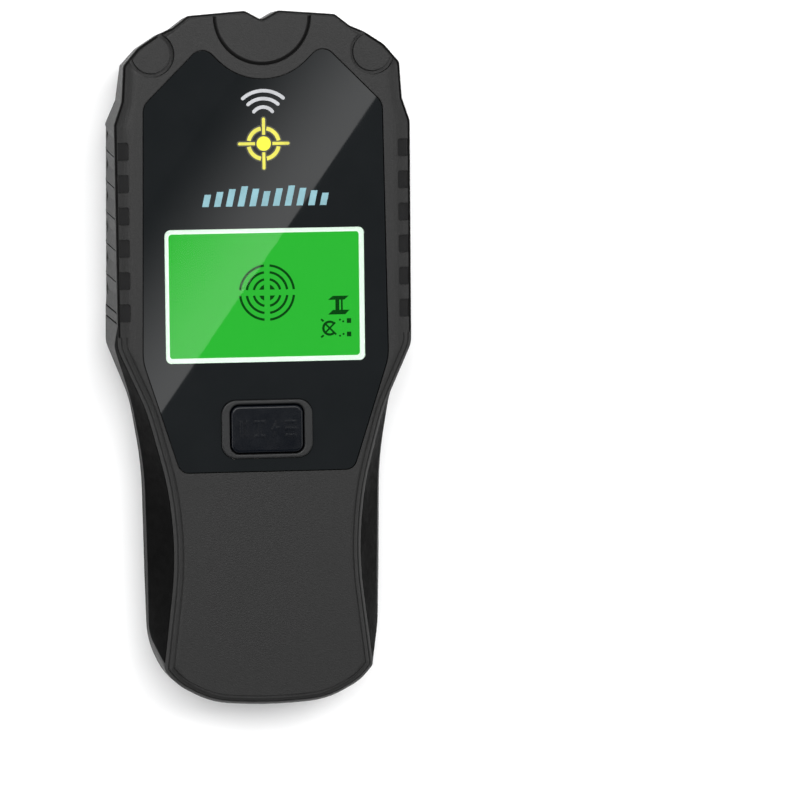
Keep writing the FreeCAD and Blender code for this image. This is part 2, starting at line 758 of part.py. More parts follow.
def capacitors():
    cans = []
    for x, y, r, h in CAPACITORS:
        can = rod(x, y, r, MAIN_BOARD_Z - h, MAIN_BOARD_Z)
        cans.append(can.makeFillet(0.5, can.Edges))
    return group(cans)


def resistors():
    w, h, t = RESISTOR
    chips = []
    for i in range(RESISTOR_COUNT):
        x = -5.0 + i * RESISTOR_PITCH
        chips.append(box(x, x + w, RESISTORS_Y, RESISTORS_Y + h, MAIN_BOARD_Z - t, MAIN_BOARD_Z))
    return group(chips)


def buzzer():
    x, y = BUZZER_C
    can = rod(x, y, BUZZER_R, MAIN_BOARD_Z - BUZZER_H, MAIN_BOARD_Z)
    return can.cut(rod(x, y, 1.2, 0, MAIN_BOARD_Z - BUZZER_H + 2.0))


# ---------------------------------------------------------------- battery

def battery_top_y():
    return BATTERY_BOTTOM_Y + BATTERY[1]


def battery():
    w, length, h = BATTERY
    body = box(-w / 2, w / 2, BATTERY_BOTTOM_Y, battery_top_y(), BATTERY_Z, BATTERY_Z + h)
    long_edges = [edge for edge in body.Edges if abs(edge.Length - length) < 1e-6]
    return body.makeFillet(BATTERY_R, long_edges)


def battery_contacts():
    """The round and the six-sided snap on the battery's end."""
    z = BATTERY_Z + BATTERY[2] / 2
    y = battery_top_y()
    snaps = []
    for side in (1, -1):
        snaps.append(Part.makeCylinder(STUD_R - 0.8, STUD_H, V(side * STUD_X, y, z), V(0, 1, 0)))
    return group(snaps)


def battery_snap():
    """Plastic plate with two sockets that clips on the battery's snaps."""
    w, h, t = SNAP
    z = BATTERY_Z + BATTERY[2] / 2
    y = battery_top_y() + 0.4
    body = box(-w / 2, w / 2, y, y + t, z - h / 2, z + h / 2)
    holes = []
    for side in (1, -1):
        start = V(side * STUD_X, battery_top_y(), z)
        holes.append(Part.makeCylinder(STUD_R - 0.8, STUD_H, start, V(0, 1, 0)))
    ends = [edge for edge in body.Edges if abs(edge.Length - t) < 1e-6]
    return body.makeFillet(2.0, ends).cut(holes)


def battery_lead(side):
    """Insulated wire from the snap up to the underside of the main board."""
    y = battery_top_y() + 0.4 + SNAP[2]
    z = BATTERY_Z + BATTERY[2] / 2
    x = side * LEAD_X
    bend = (MAIN_BOARD_Z - z) / 2
    start = V(x, y, z)
    corner = V(x, y + bend, z)
    top = V(x, y + 2 * bend, z + bend)
    turn = math.sqrt(0.5) * bend
    middle = V(x, y + bend + turn, z + bend - turn)
    path = Part.Wire([Part.LineSegment(start, corner).toShape(),
                      Part.Arc(corner, middle, top).toShape(),
                      Part.LineSegment(top, V(x, top.y, MAIN_BOARD_Z)).toShape()])
    section = Part.Wire([Part.makeCircle(LEAD_R, start, V(0, 1, 0))])
    return path.makePipeShell([section], True, True)


def battery_foam():
    top = FACE_Z - FRONT_WALL
    bottom = BATTERY_Z + BATTERY[2]
    return prism(rectangle((0.0, -53.0), (20.0, 12.0), 1.0), bottom, top)


def battery_door():
    """Sliding door: cut from the rear shell's own form, with a tongue along each side."""
    panel = box(-DOOR_X, DOOR_X, -FAR, DOOR_TOP_Y, DOOR_Z, DOOR_TOP_Z)
    wide = DOOR_X + TONGUE
    tongues = box(-wide, wide, BATTERY_BOTTOM_Y + 4, DOOR_TOP_Y, TONGUE_Z, DOOR_TOP_Z)
    door = rear_form().common(panel.fuse(tongues))
    cuts = []
    for i in range(RIDGE_COUNT):
        y = RIDGE_Y + i * RIDGE_PITCH
        cuts.append(box(-9.0, 9.0, y, y + 1.0, 0, DOOR_Z + 0.5))
    return door.cut(cuts)


# ---------------------------------------------------------------- fasteners

def screw(x, y, seat, head_r, head_h, shank_r, top):
    """Pan-head screw driven upwards, with a cross recess in its head."""
    head = rod(x, y, head_r, seat - head_h, seat)
    shank = rod(x, y, shank_r, seat, top)
    slot = head_r * 0.6
    cross = [box(x - slot, x + slot, y - 0.3, y + 0.3, 0, seat - head_h / 2),
             box(x - 0.3, x + 0.3, y - slot, y + slot, 0, seat - head_h / 2)]
    return head.cut(cross).fuse(shank).removeSplitter()


def case_screws():
    return group([screw(x, y, CASE_SEAT_Z, CASE_HEAD_R, CASE_HEAD_H, CASE_SHANK_R, CASE_SCREW_TOP_Z)
                  for x, y in CASE_SCREWS])


def main_board_screws():
    return group([screw(x, y, MAIN_BOARD_Z, SMALL_HEAD_R, SMALL_HEAD_H, SMALL_SCREW_R,
                        MAIN_SCREW_TOP_Z)
                  for x, y in MAIN_SCREWS])


def sensor_board_screws():
    """Driven downwards into the rear shell's posts."""
    screws = []
    for x, y in SENSOR_SCREWS:
        head = rod(x, y, SMALL_HEAD_R, SENSOR_TOP_Z, SENSOR_TOP_Z + SMALL_HEAD_H)
        shank = rod(x, y, SMALL_SCREW_R, SENSOR_BOARD_Z - 2.2, SENSOR_TOP_Z)
        cross = [box(x - 1.0, x + 1.0, y - 0.25, y + 0.25, SENSOR_TOP_Z + 0.7, FAR),
                 box(x - 0.25, x + 0.25, y - 1.0, y + 1.0, SENSOR_TOP_Z + 0.7, FAR)]
        screws.append(head.cut(cross).fuse(shank).removeSplitter())
    return group(screws)


# ---------------------------------------------------------------- assembly

def main():
    form = front_form()
    right_grip, left_grip = side_grips(form)
    cx, cy, side, t = CHIP
    parts = {
        "front_housing": front_housing(form),
        "rear_housing": rear_housing(),
        "right_grip": right_grip,
        "left_grip": left_grip,
        "display_lens": display_lens(),
        "lens_tape": lens_tape(),
        "display_window": display_window(),
        "lcd_bezel": lcd_bezel(),
        "lcd_cell": lcd_cell(),
        "lcd_backlight": lcd_backlight(),
        "zebra_strips": zebra_strips(),
        "button_surround": button_surround(),
        "mode_button": mode_button(),
        "switch_plunger": switch_plunger(),
        "mode_switch": mode_switch(),
        "main_board": main_board(),
        "microcontroller": chip(cx, cy, side, side, t, 10),
        "amplifier_chips": amplifier_chips(),
        "crystal": crystal(),
        "voltage_regulator": voltage_regulator(),
        "capacitors": capacitors(),
        "resistors": resistors(),
        "buzzer": buzzer(),
        "sensor_board": sensor_board(),
        "sensor_plates": sensor_plates(),
        "search_coil": search_coil(),
        "header_block": header_block(),
        "header_pins": header_pins(),
        "battery": battery(),
        "battery_contacts": battery_contacts(),
        "battery_snap": battery_snap(),
        "red_lead": battery_lead(1),
        "black_lead": battery_lead(-1),
        "battery_foam": battery_foam(),
        "battery_door": battery_door(),
        "case_screws": case_screws(),
        "main_board_screws": main_board_screws(),
        "sensor_board_screws": sensor_board_screws(),
    }
    os.makedirs("parts", exist_ok=True)
    for name, shape in parts.items():
        shape.exportStep(f"parts/{name}.step")


main()
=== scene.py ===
import bpy
import json
import math
from mathutils import Matrix, Vector
from mathutils.bvhtree import BVHTree


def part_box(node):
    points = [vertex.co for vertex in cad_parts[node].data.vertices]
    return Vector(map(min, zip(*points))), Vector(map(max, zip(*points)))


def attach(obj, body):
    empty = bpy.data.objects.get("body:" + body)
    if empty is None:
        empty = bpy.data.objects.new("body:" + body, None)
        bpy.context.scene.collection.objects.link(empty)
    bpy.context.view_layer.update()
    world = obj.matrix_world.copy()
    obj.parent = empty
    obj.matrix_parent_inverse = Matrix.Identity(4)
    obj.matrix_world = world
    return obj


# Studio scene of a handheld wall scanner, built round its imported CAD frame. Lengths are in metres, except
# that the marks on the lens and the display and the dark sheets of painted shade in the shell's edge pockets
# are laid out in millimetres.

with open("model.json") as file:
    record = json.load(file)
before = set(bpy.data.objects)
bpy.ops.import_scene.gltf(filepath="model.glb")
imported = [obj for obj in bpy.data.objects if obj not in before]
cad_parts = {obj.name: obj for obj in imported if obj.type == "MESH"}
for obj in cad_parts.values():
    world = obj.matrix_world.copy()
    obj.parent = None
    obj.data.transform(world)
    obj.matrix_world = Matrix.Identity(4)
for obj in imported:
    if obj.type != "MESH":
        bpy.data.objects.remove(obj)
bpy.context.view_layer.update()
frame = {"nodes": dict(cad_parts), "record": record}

MM = 0.001
NODES = frame["nodes"]
QUARTERS = (0, 90, 180, 270)


def mesh_object(name, points, faces, mat):
    data = bpy.data.meshes.new(name)
    data.from_pydata(points, [], faces)
    data.materials.append(mat)
    thing = bpy.data.objects.new(name, data)
    bpy.context.scene.collection.objects.link(thing)
    return thing


def add_piece(name, points, faces, mat):
    """A visible piece fixed to the case."""
    piece = mesh_object(name, points, faces, mat)
    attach(piece, "root")


# ---------------------------------------------------------------- material helpers

# range that most of a noise texture's values fall in
NOISE_SPAN = (0.3, 0.7)
BEVEL_SAMPLES = 4


def shader_material(name, colour, roughness, shine=0.5):
    mat = bpy.data.materials.new(name)
    mat.use_nodes = True
    shader = principled(mat)
    shader.inputs["Base Color"].default_value = (*colour, 1.0)
    shader.inputs["Roughness"].default_value = roughness
    shader.inputs["Specular IOR Level"].default_value = shine
    return mat


def principled(mat):
    return mat.node_tree.nodes["Principled BSDF"]


def colour_ramp(tree, span, colours):
    ramp = tree.nodes.new("ShaderNodeValToRGB")
    for element, position, colour in zip(ramp.color_ramp.elements, span, colours):
        element.position = position
        element.color = (*colour, 1.0)
    return ramp


def noise(mat, scale, detail, roughness):
    """Noise texture in the object's own coordinates, so that it moves with the piece."""
    nodes, links = mat.node_tree.nodes, mat.node_tree.links
    place = nodes.new("ShaderNodeTexCoord")
    texture = nodes.new("ShaderNodeTexNoise")
    texture.inputs["Scale"].default_value = scale
    texture.inputs["Detail"].default_value = detail
    texture.inputs["Roughness"].default_value = roughness
    links.new(place.outputs["Object"], texture.inputs["Vector"])
    return texture.outputs["Fac"]


def grain(mat, scale, depth, strength=1.0, edge=0.0):
    """Fine bump of the surface; edge is the radius that sharp corners are softened to."""
    nodes, links = mat.node_tree.nodes, mat.node_tree.links
    bump = nodes.new("ShaderNodeBump")
    bump.inputs["Strength"].default_value = strength
    bump.inputs["Distance"].default_value = depth
    links.new(noise(mat, scale, detail=3.0, roughness=0.6), bump.inputs["Height"])
    if edge:
        soft = nodes.new("ShaderNodeBevel")
        soft.samples = BEVEL_SAMPLES
        soft.inputs["Radius"].default_value = edge
        links.new(soft.outputs[0], bump.inputs["Normal"])
    links.new(bump.outputs[0], principled(mat).inputs["Normal"])


def mottle(mat, dark, light, scale):
    """Slight unevenness of the colour."""
    links = mat.node_tree.links
    ramp = colour_ramp(mat.node_tree, NOISE_SPAN, (dark, light))
    links.new(noise(mat, scale, detail=4.0, roughness=0.6), ramp.inputs["Fac"])
    links.new(ramp.outputs["Color"], principled(mat).inputs["Base Color"])


def scuff(mat, low, high, scale):
    """Slight unevenness of the shine, between two roughnesses."""
    links = mat.node_tree.links
    remap = mat.node_tree.nodes.new("ShaderNodeMapRange")
    for socket, number in zip(("From Min", "From Max", "To Min", "To Max"), (*NOISE_SPAN, low, high)):
        remap.inputs[socket].default_value = number
    links.new(noise(mat, scale, detail=4.0, roughness=0.65), remap.inputs["Value"])
    links.new(remap.outputs["Result"], principled(mat).inputs["Roughness"])


# ---------------------------------------------------------------- camera and studio

EYE_TILT = math.radians(7.61)
EYE_LEAN = math.radians(4.0)
EYE_DISTANCE = 1.5
EYE_ROLL = math.radians(0.627)
EYE_AIM = Vector((0.035297, -0.012727, 0.0))
EYE_LENS = 288.8
EYE_SENSOR = 36.0
EYE_CLIP = (0.01, 50.0)

WORLD_STRENGTH = 1.4
WORLD_HORIZON = (1.0, 1.0, 1.0)
WORLD_CEILING = (0.075, 0.076, 0.079)
WORLD_SPAN = (0.02, 0.75)

FLOOR_SIZE = 1.8
FLOOR_DROP = 0.0002

CARD_HEIGHT = 0.5
CARD_EDGE = (Vector((0.02617, 0.05924)), Vector((-0.02429, -0.01207)))
CARD_WIDTH = 0.039
CARD_OVERHANG = 0.25
CARD_STRENGTH = 1.8
CARD_BRIGHT = (1.0, 1.0, 1.0)
CARD_FADED = (0.048, 0.048, 0.05)

# name, place, size and power of each softbox; all face the origin
LIGHTS = (
    ("overhead", (-0.05, 0.42, 1.4), (1.6, 0.66), 29.0),
    ("left", (-1.2, -0.3, 0.5), (0.6, 0.5), 4.0),
    ("right", (1.1, -0.1, 0.8), (0.8, 0.8), 4.5),
)


def look_matrix(eye, aim, roll):
    """Camera matrix at eye, looking at aim, with +Y upwards in the picture."""
    ahead = (aim - eye).normalized()
    up = Vector((0.0, 1.0, 0.0))
    up = (up - ahead * ahead.dot(up)).normalized()
    right = ahead.cross(up)
    turned_right = right * math.cos(roll) - up * math.sin(roll)
    turned_up = up * math.cos(roll) + right * math.sin(roll)
    matrix = Matrix((turned_right, turned_up, -ahead)).transposed().to_4x4()
    matrix.translation = eye
    return matrix


def make_camera():
    towards = Vector((-math.sin(EYE_TILT),
                      math.sin(EYE_LEAN) * math.cos(EYE_TILT),
                      math.cos(EYE_LEAN) * math.cos(EYE_TILT)))
    data = bpy.data.cameras.new("camera")
    data.lens = EYE_LENS
    data.sensor_width = EYE_SENSOR
    data.clip_start, data.clip_end = EYE_CLIP
    camera = bpy.data.objects.new("camera", data)
    bpy.context.scene.collection.objects.link(camera)
    camera.matrix_world = look_matrix(towards * EYE_DISTANCE, EYE_AIM, EYE_ROLL)
    bpy.context.scene.camera = camera
    return camera


def make_world():
    """White walls at the horizon under a dim ceiling."""
    world = bpy.data.worlds.new("studio")
    world.use_nodes = True
    tree = world.node_tree
    tree.nodes.clear()
    place = tree.nodes.new("ShaderNodeTexCoord")
    split = tree.nodes.new("ShaderNodeSeparateXYZ")
    ramp = colour_ramp(tree, WORLD_SPAN, (WORLD_HORIZON, WORLD_CEILING))
    light = tree.nodes.new("ShaderNodeBackground")
    light.inputs["Strength"].default_value = WORLD_STRENGTH
    out = tree.nodes.new("ShaderNodeOutputWorld")
    tree.links.new(place.outputs["Generated"], split.inputs[0])
    tree.links.new(split.outputs["Z"], ramp.inputs["Fac"])
    tree.links.new(ramp.outputs["Color"], light.inputs["Color"])
    tree.links.new(light.outputs[0], out.inputs["Surface"])
    bpy.context.scene.world = world


def area_light(name, place, size, power):
    data = bpy.data.lights.new(name, "AREA")
    data.shape = "RECTANGLE"
    data.size, data.size_y = size
    data.energy = power
    light = bpy.data.objects.new(name, data)
    bpy.context.scene.collection.objects.link(light)
    light.location = place
    light.rotation_euler = (-Vector(place)).to_track_quat("-Z", "Y").to_euler()
    light.visible_camera = False


def make_floor():
    half = FLOOR_SIZE / 2
    corners = [(-half, -half), (half, -half), (half, half), (-half, half)]
    paper = shader_material("floor_paper", (0.93, 0.93, 0.93), 0.7)
    grain(paper, scale=900.0, depth=0.00002)
    floor = mesh_object("floor", [(x, y, -FLOOR_DROP) for x, y in corners], [(0, 1, 2, 3)], paper)


def card_light():
    """Light that fades across the card, from its straight edge."""
    mat = bpy.data.materials.new("card_light")
    mat.use_nodes = True
    tree = mat.node_tree
    tree.nodes.clear()
    uv = tree.nodes.new("ShaderNodeUVMap")
    uv.uv_map = "across"
    split = tree.nodes.new("ShaderNodeSeparateXYZ")
    ramp = colour_ramp(tree, (0.0, 1.0), (CARD_BRIGHT, CARD_FADED))
    ramp.color_ramp.interpolation = "EASE"
    light = tree.nodes.new("ShaderNodeEmission")
    light.inputs["Strength"].default_value = CARD_STRENGTH
    out = tree.nodes.new("ShaderNodeOutputMaterial")
    tree.links.new(uv.outputs[0], split.inputs[0])
    tree.links.new(split.outputs["Y"], ramp.inputs["Fac"])
    tree.links.new(ramp.outputs["Color"], light.inputs["Color"])
    tree.links.new(light.outputs[0], out.inputs["Surface"])
    return mat


def make_glare_card(camera):
    """Strip softbox overhead, placed so that the lens mirrors its straight edge towards the camera."""
    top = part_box("display_lens")[1].z
    eye = camera.matrix_world.translation
    mirrored = Vector((eye.x, eye.y, 2 * top - eye.z))
    ends = []
    for corner in CARD_EDGE:
        point = Vector((corner.x, corner.y, top))
        ends.append(mirrored + (point - mirrored) * ((CARD_HEIGHT - mirrored.z) / (top - mirrored.z)))
    along = (ends[0] - ends[1]).normalized()
    across = Vector((-along.y, along.x, 0.0))
    start = ends[1] - along * CARD_OVERHANG
    end = ends[0] + along * CARD_OVERHANG
    corners = [start, end, end + across * CARD_WIDTH, start + across * CARD_WIDTH]
    card = mesh_object("glare_card", corners, [(0, 1, 2, 3)], card_light())
    layer = card.data.uv_layers.new(name="across")
    for loop, uv in zip(layer.data, ((0, 0), (1, 0), (1, 1), (0, 1))):
        loop.uv = uv
    card.visible_camera = False
    card.visible_shadow = False


def make_studio(camera):
    make_world()
    make_floor()
    make_glare_card(camera)
    for light in LIGHTS:
        area_light(*light)
    bpy.context.scene.view_settings.view_transform = "Standard"


# ---------------------------------------------------------------- materials

def housing_plastic():
    mat = shader_material("housing_plastic", (0.0060, 0.0060, 0.0059), 0.5, shine=0.26)
    mottle(mat, (0.0040, 0.0040, 0.0039), (0.0084, 0.0084, 0.0083), scale=2600.0)
    scuff(mat, 0.46, 0.54, scale=1200.0)
    grain(mat, scale=2800.0, depth=0.00006, strength=0.9, edge=0.0002)
    return mat


def grip_elastomer():
    mat = shader_material("grip_elastomer", (0.0008, 0.0008, 0.0008), 0.75, shine=0.04)
    mottle(mat, (0.0006, 0.0006, 0.0006), (0.0010, 0.0010, 0.0010), scale=420.0)
    scuff(mat, 0.7, 0.85, scale=500.0)
    grain(mat, scale=3200.0, depth=0.00004, strength=0.6, edge=0.0003)
    return mat


def lens_gloss():
    mat = shader_material("lens_gloss", (0.0062, 0.0074, 0.0080), 0.02)
    mottle(mat, (0.0056, 0.0068, 0.0074), (0.0068, 0.0080, 0.0087), scale=90.0)
    scuff(mat, 0.008, 0.02, scale=60.0)
    return mat


def window_clear():
    mat = shader_material("window_clear", (1.0, 1.0, 1.0), 0.0)
    principled(mat).inputs["Transmission Weight"].default_value = 1.0
    principled(mat).inputs["IOR"].default_value = 1.33
    scuff(mat, 0.0, 0.012, scale=60.0)
    return mat


def button_gloss():
    mat = shader_material("button_gloss", (0.0003, 0.0012, 0.0030), 0.2, shine=0.2)
    mottle(mat, (0.0002, 0.0010, 0.0027), (0.0004, 0.0014, 0.0034), scale=150.0)
    scuff(mat, 0.20, 0.28, scale=200.0)
    grain(mat, scale=1500.0, depth=0.00001, strength=0.5, edge=0.0002)
    return mat


def glow(name, colour, strength, dark, light):
    """Matt surface lit from inside; dark and light are its own colours."""
    mat = shader_material(name, dark, 0.4, shine=0.0)
    mottle(mat, dark, light, scale=120.0)
    principled(mat).inputs["Emission Color"].default_value = (*colour, 1.0)
    principled(mat).inputs["Emission Strength"].default_value = strength
    return mat


def plain(name, colour, roughness, metal=0.0, grain_scale=1800.0, depth=0.00002, shine=0.5):
    mat = shader_material(name, colour, roughness, shine)
    principled(mat).inputs["Metallic"].default_value = metal
    lighter = tuple(min(1.0, c * 1.15) for c in colour)
    darker = tuple(c * 0.88 for c in colour)
    mottle(mat, darker, lighter, scale=260.0)
    scuff(mat, max(0.02, roughness - 0.06), roughness + 0.06, scale=300.0)
    grain(mat, grain_scale, depth)
    return mat


def bezel_white():
    return glow("bezel_white", (0.80, 1.0, 0.83), 0.85, (0.22, 0.26, 0.23), (0.25, 0.29, 0.26))


def lcd_green():
    return glow("lcd_green", (0.026, 0.525, 0.036), 0.95, (0.0, 0.004, 0.0), (0.001, 0.006, 0.001))


# recipe of each slot that has one of its own
SURFACES = {
    "housing_abs": housing_plastic,
    "grip_rubber": grip_elastomer,
    "lens_black": lens_gloss,
    "clear_acrylic": window_clear,
    "bezel_white": bezel_white,
    "lcd_glass": lcd_green,
    "button_black": button_gloss,
}

# name, colour and roughness of each plain slot, and what else differs
PLAIN_SURFACES = {
    "tape": dict(name="tape_paper", colour=(0.55, 0.52, 0.42), roughness=0.7),
    "light_guide": dict(name="light_guide", colour=(0.35, 0.8, 0.38), roughness=0.25),
    "contact_rubber": dict(name="contact_rubber", colour=(0.30, 0.27, 0.28), roughness=0.6),
    "ring_grey": dict(name="ring_grey", colour=(0.0026, 0.0031, 0.0035), roughness=0.44, shine=0.3),
    "switch_plastic": dict(name="switch_plastic", colour=(0.02, 0.02, 0.02), roughness=0.5),
    "board_green": dict(name="board_green", colour=(0.02, 0.16, 0.06), roughness=0.35, grain_scale=600.0),
    "chip_black": dict(name="chip_black", colour=(0.015, 0.015, 0.016), roughness=0.55),
    "copper": dict(name="copper", colour=(0.72, 0.34, 0.18), roughness=0.3, metal=1.0),
    "plated_metal": dict(name="plated_metal", colour=(0.72, 0.72, 0.74), roughness=0.25, metal=1.0),
    "capacitor_can": dict(name="capacitor_can", colour=(0.08, 0.09, 0.2), roughness=0.35),
    "battery_wrap": dict(name="battery_wrap", colour=(0.09, 0.10, 0.12), roughness=0.3),
    "lead_red": dict(name="lead_red", colour=(0.45, 0.02, 0.02), roughness=0.45),
    "lead_black": dict(name="lead_black", colour=(0.012, 0.012, 0.012), roughness=0.45),
    "foam": dict(name="foam", colour=(0.05, 0.05, 0.05), roughness=0.95, grain_scale=700.0, depth=0.0002),
    "screw_steel": dict(name="screw_steel", colour=(0.30, 0.30, 0.31), roughness=0.35, metal=1.0,
                        grain_scale=900.0),
}


def dress_frame():
    """Give each CAD node its slot's material."""
    made = {slot: recipe() for slot, recipe in SURFACES.items()}
    made.update({slot: plain(**look) for slot, look in PLAIN_SURFACES.items()})
    for part in frame["record"]["subparts"]:
        mesh = NODES[part["node"]].data
        mesh.materials.clear()
        mesh.materials.append(made[part["material_slot"]])


# ---------------------------------------------------------------- flat shapes, in millimetres

# thickness of a printed mark, and how much higher each shape of a mark is than the one before it
INK_T = 0.03
INK_STEP = 0.0004
ARC_STEPS = 24
END_STEPS = 8


def solid_shapes(name, outlines, base_z, mat, thickness=INK_T):
    """One mesh of thin upright plates, each from a closed outline and a hair above the last."""
    points, faces = [], []
    for i, outline in enumerate(outlines):
        start, count = len(points), len(outline)
        for z in (base_z, base_z + (thickness + i * INK_STEP) * MM):
            points += [(x * MM, y * MM, z) for x, y in outline]
        faces.append(tuple(start + k for k in reversed(range(count))))
        faces.append(tuple(start + count + k for k in range(count)))
        for k in range(count):
            j = (k + 1) % count
            faces.append((start + k, start + j, start + count + j, start + count + k))
    add_piece(name, points, faces, mat)


def arc_points(cx, cy, r, start, end, steps):
    turns = [math.radians(start + (end - start) * i / steps) for i in range(steps + 1)]
    return [(cx + r * math.cos(t), cy + r * math.sin(t)) for t in turns]


def band(cx, cy, outer, inner, start, end):
    """Part of a ring, counter-clockwise."""
    return arc_points(cx, cy, outer, start, end, ARC_STEPS) + arc_points(cx, cy, inner, end, start, ARC_STEPS)


def rounded_band(cx, cy, r, width, start, end):
    """Part of a ring with round ends."""
    x0, y0 = arc_points(cx, cy, r, start, start, 1)[0]
    x1, y1 = arc_points(cx, cy, r, end, end, 1)[0]
    half = width / 2
    far_end = arc_points(x1, y1, half, end, end + 180, END_STEPS)[1:-1]
    near_end = arc_points(x0, y0, half, start + 180, start + 360, END_STEPS)[1:-1]
    return (arc_points(cx, cy, r + half, start, end, ARC_STEPS) + far_end
            + arc_points(cx, cy, r - half, end, start, ARC_STEPS) + near_end)


def disc(cx, cy, r, steps=32):
    return arc_points(cx, cy, r, 0, 360 - 360 / steps, steps - 1)


def bar(x0, x1, y0, y1, slant=0.0):
    """Upright or slanted bar; slant is how far the top leans to the right per unit of height."""
    lean = slant * (y1 - y0)
    return [(x0, y0), (x1, y0), (x1 + lean, y1), (x0 + lean, y1)]


def stroke(a, b, width):
    """Straight line of a given width between two points."""
    direction = Vector((b[0] - a[0], b[1] - a[1])).normalized()
    side = Vector((-direction.y, direction.x)) * width / 2
    return [(a[0] - side.x, a[1] - side.y), (b[0] - side.x, b[1] - side.y),
            (b[0] + side.x, b[1] + side.y), (a[0] + side.x, a[1] + side.y)]


def rounded_arm(cx, cy, turn, near, far, width):
    """Straight arm pointing away from a middle, with a round outer end."""
    along = Vector((math.cos(turn), math.sin(turn)))
    side = Vector((-along.y, along.x)) * width / 2
    middle = Vector((cx, cy))
    tip = middle + along * far
    degrees = math.degrees(turn)
    inner = [tuple(middle + along * near + side), tuple(middle + along * near - side)]
    return inner + arc_points(tip.x, tip.y, width / 2, degrees - 90, degrees + 90, 10)


def shifted(points, dx, dy):
    return [(x + dx, y + dy) for x, y in points]


# ---------------------------------------------------------------- marks printed on the lens, in millimetres

# middle, radius and half angle of each arc of the wave mark
WAVES = ((53.9, 7.2, 40.5), (54.1, 5.2, 41.5), (54.65, 2.7, 52.0))
WAVE_T = 0.8
AIM_MARK = (0.05, 49.0)
AIM_RING = (3.95, 3.05)
AIM_RING_GAP = 11
AIM_ARM = (2.0, 5.6)
AIM_ARM_T = 0.70
AIM_DOT_R = 1.65
AIM_HALO = 0.32
LEVELS = (2.8, 3.4, 4.0, 4.6, 4.0, 3.4, 4.0, 4.6, 4.0, 3.4, 2.8)
LEVEL_PITCH = 2.72
LEVEL_WIDTH = 1.5
LEVEL_SLANT = 0.22
LEVEL_Y = 34.7


def aim_shapes(swell):
    """Ring, arms and dot of the aiming mark; swell is added all round."""
    cx, cy = AIM_MARK
    outer, inner = AIM_RING[0] + swell, AIM_RING[1] - swell
    ring = [band(cx, cy, outer, inner, start + AIM_RING_GAP, start + 90 - AIM_RING_GAP) for start in QUARTERS]
    arms = [rounded_arm(cx, cy, math.radians(turn), *AIM_ARM, AIM_ARM_T + 2 * swell) for turn in QUARTERS]
    return ring, arms, [disc(cx, cy, AIM_DOT_R + swell)]


def lens_marks():
    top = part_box("display_lens")[1].z
    grey = plain("ink_grey", (0.33, 0.335, 0.35), 0.4)
    yellow = plain("ink_yellow", (0.60, 0.57, 0.0), 0.4)
    pale = plain("ink_pale_yellow", (0.50, 0.47, 0.03), 0.4)
    olive = plain("ink_olive", (0.014, 0.0135, 0.0), 0.4)
    blue = plain("ink_blue", (0.140, 0.290, 0.330), 0.4)

    waves = [rounded_band(0.0, middle, r, WAVE_T, 90 - turn, 90 + turn) for middle, r, turn in WAVES]
    solid_shapes("wave_marks", waves, top, grey)

    ring, arms, dot = aim_shapes(AIM_HALO)
    solid_shapes("aim_halo", ring + arms + dot, top, olive, thickness=INK_T / 2)
    ring, arms, dot = aim_shapes(0.0)
    solid_shapes("aim_ring", ring + arms, top, pale)
    solid_shapes("aim_dot", dot, top, yellow)

    left = -LEVEL_PITCH * (len(LEVELS) - 1) / 2 - LEVEL_WIDTH / 2
    bars = []
    for i, height in enumerate(LEVELS):
        x = left + i * LEVEL_PITCH
        bars.append(bar(x, x + LEVEL_WIDTH, LEVEL_Y, LEVEL_Y + height, LEVEL_SLANT))
    solid_shapes("level_marks", bars, top, blue)


# ---------------------------------------------------------------- segments of the display, in millimetres

TARGET = (0.68, 14.70)
TARGET_RINGS = (6.25, 4.7, 3.1)
TARGET_T = 0.55
TARGET_GAP = 0.65
# one quarter of the target's middle: nearest and farthest corner, and the outer corner's bulge
TARGET_CORE = (0.68, 1.85, 1.38)
BEAM = (17.26, 11.5)
WIRE = (15.12, 6.22)
WIRE_RING = (1.75, 1.2)
WIRE_T = 0.42
WIRE_DOTS = ((2.4, 1.9), (3.15, 1.5), (2.4, -1.8), (3.2, -1.4))
WIRE_DOT_R = 0.24
WIRE_DOT_STEPS = 12
WIRE_LINES = (
    ((-0.85, 0.85), (1.5, -1.5)),
    ((-0.85, -0.85), (1.3, 1.3)),
    ((-2.0, 2.1), (-1.4, 1.6)),
    ((-2.0, -2.1), (-1.4, -1.6)),
)


def target_shapes():
    """Three broken rings round a middle in four quarters."""
    cx, cy = TARGET
    shapes = []
    for r in TARGET_RINGS:
        gap = math.degrees(math.asin(TARGET_GAP / r))
        for start in QUARTERS:
            shapes.append(band(cx, cy, r + TARGET_T / 2, r - TARGET_T / 2, start + gap, start + 90 - gap))
    near, far, bulge = TARGET_CORE
    corners = ((near, near), (far, near), (bulge, bulge), (near, far))
    for sx, sy in ((1, 1), (1, -1), (-1, 1), (-1, -1)):
        quarter = [(cx + sx * x, cy + sy * y) for x, y in corners]
        shapes.append(quarter if sx * sy > 0 else quarter[::-1])
    return shapes


def beam_shapes():
    """Sign of a steel beam."""
    return [
        [(-2.46, 1.23), (1.35, 1.23), (2.34, 2.13), (-1.35, 2.13)],
        [(-2.46, -2.16), (1.5, -2.16), (2.55, -1.11), (-1.35, -1.11)],
        bar(-0.75, 0.15, -1.2, 1.3),
        bar(0.55, 0.95, -1.2, 1.3),
    ]


def wire_shapes():
    """Sign of a live wire, with four dots and two squares beside it."""
    lines = [stroke(a, b, WIRE_T) for a, b in WIRE_LINES]
    dots = [disc(x, y, WIRE_DOT_R, WIRE_DOT_STEPS) for x, y in WIRE_DOTS]
    squares = [bar(4.0, 5.0, 1.1, 2.2), bar(4.0, 5.0, -2.0, -0.9)]
    return [band(0.0, 0.0, *WIRE_RING, 45, 315)] + lines + dots + squares


